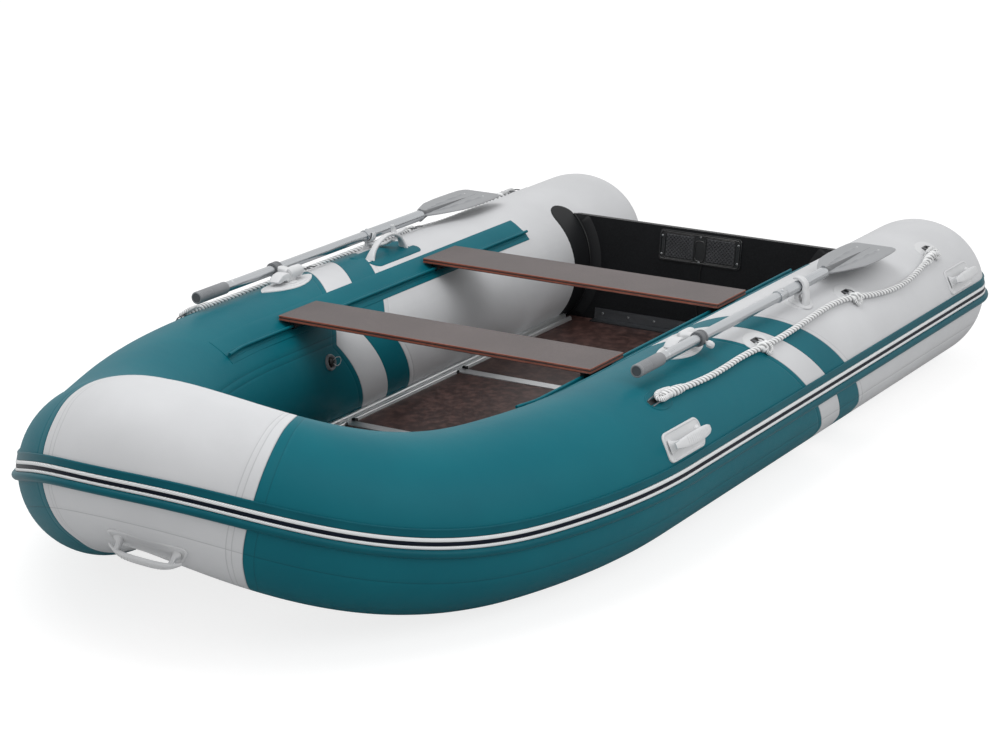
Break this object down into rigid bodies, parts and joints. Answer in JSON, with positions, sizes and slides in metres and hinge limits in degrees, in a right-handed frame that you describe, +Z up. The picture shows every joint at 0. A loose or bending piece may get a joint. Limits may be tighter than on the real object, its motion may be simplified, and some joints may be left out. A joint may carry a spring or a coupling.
{
  "type": "inflatable boat",
  "caption": "Inflatable boat with a plywood floor, transom, sliding bench seats, oars in swivelling oarlocks, lifelines and rub rail.",
  "frame": {"origin": "on the ground under the middle of the boat's length and width", "axes": "+X to the bow, +Y to port, +Z up"},
  "size_m": [3.6924, 1.7392, 0.673],
  "materials": {
    "teal_fabric": "coated fabric, satin",
    "grey_fabric": "coated fabric, satin",
    "rail_rubber": "moulded rubber, satin",
    "black_ply": "film-faced plywood",
    "black_fabric": "coated fabric, matte",
    "black_plastic": "moulded, matte",
    "black_metal": "anodised black",
    "floor_ply": "film-faced plywood, mesh print",
    "aluminium": "anodised, satin",
    "seat_ply": "film-faced plywood, sealed edges",
    "grey_plastic": "moulded, satin",
    "white_plastic": "moulded, satin",
    "eye_patch": "coated fabric, satin",
    "rope": "braided cord"
  },
  "bodies": {
    "root": {"side_tube_port": "grey_fabric", "side_tube_starboard": "grey_fabric", "bow_shoulder_port": "teal_fabric", "bow_shoulder_starboard": "teal_fabric", "bow_cheek_port": "teal_fabric", "bow_cheek_starboard": "teal_fabric", "bow_nose": "grey_fabric", "rub_rail": "rail_rubber", "hull_bottom_port": "grey_fabric", "hull_bottom_starboard": "grey_fabric", "transom": "black_ply", "transom_collars": "black_fabric", "motor_plate_inner": "black_plastic", "motor_plate_outer": "black_plastic", "floor_bracket": "black_metal", "floor_board_bow": "floor_ply", "floor_board_fore": "floor_ply", "floor_board_middle": "floor_ply", "floor_board_aft": "floor_ply", "cross_profiles": "aluminium", "stringers": "aluminium", "seat_tracks": "teal_fabric", "carry_handles": "white_plastic", "bow_handle": "white_plastic", "rope_eyes": "eye_patch", "valves": "grey_plastic", "lifeline_port": "rope", "lifeline_starboard": "rope", "oarlock_base_port": "white_plastic", "oarlock_base_starboard": "white_plastic", "oar_rest_port": "white_plastic", "oar_rest_starboard": "white_plastic"},
    "seat_front": {"seat_front": "seat_ply", "seat_front_runners": "black_plastic"},
    "seat_rear": {"seat_rear": "seat_ply", "seat_rear_runners": "black_plastic"},
    "oar_port": {"oarlock_head_port": "white_plastic", "oar_clamp_port": "white_plastic", "oar_shaft_port": "aluminium", "oar_sleeve_port": "aluminium", "oar_grip_port": "grey_plastic", "oar_blade_port": "grey_plastic"},
    "oar_starboard": {"oarlock_head_starboard": "white_plastic", "oar_clamp_starboard": "white_plastic", "oar_shaft_starboard": "aluminium", "oar_sleeve_starboard": "aluminium", "oar_grip_starboard": "grey_plastic", "oar_blade_starboard": "grey_plastic"}
  },
  "joints": [
    {"name": "seat_front_slide", "type": "slide", "parent": "root", "child": "seat_front", "axis": [1, 0, 0], "range_m": [-0.29, 0.21]},
    {"name": "seat_rear_slide", "type": "slide", "parent": "root", "child": "seat_rear", "axis": [1, 0, 0], "range_m": [-0.389, 0.282]},
    {"name": "oar_swing_port", "type": "hinge", "parent": "root", "child": "oar_port", "pos_m": [0.115, 0.64, 0.46], "axis": [0, 0, -1], "range_deg": [0, 115]},
    {"name": "oar_swing_starboard", "type": "hinge", "parent": "root", "child": "oar_starboard", "pos_m": [0.115, -0.64, 0.46], "axis": [0, 0, 1], "range_deg": [0, 115]}
  ]
}
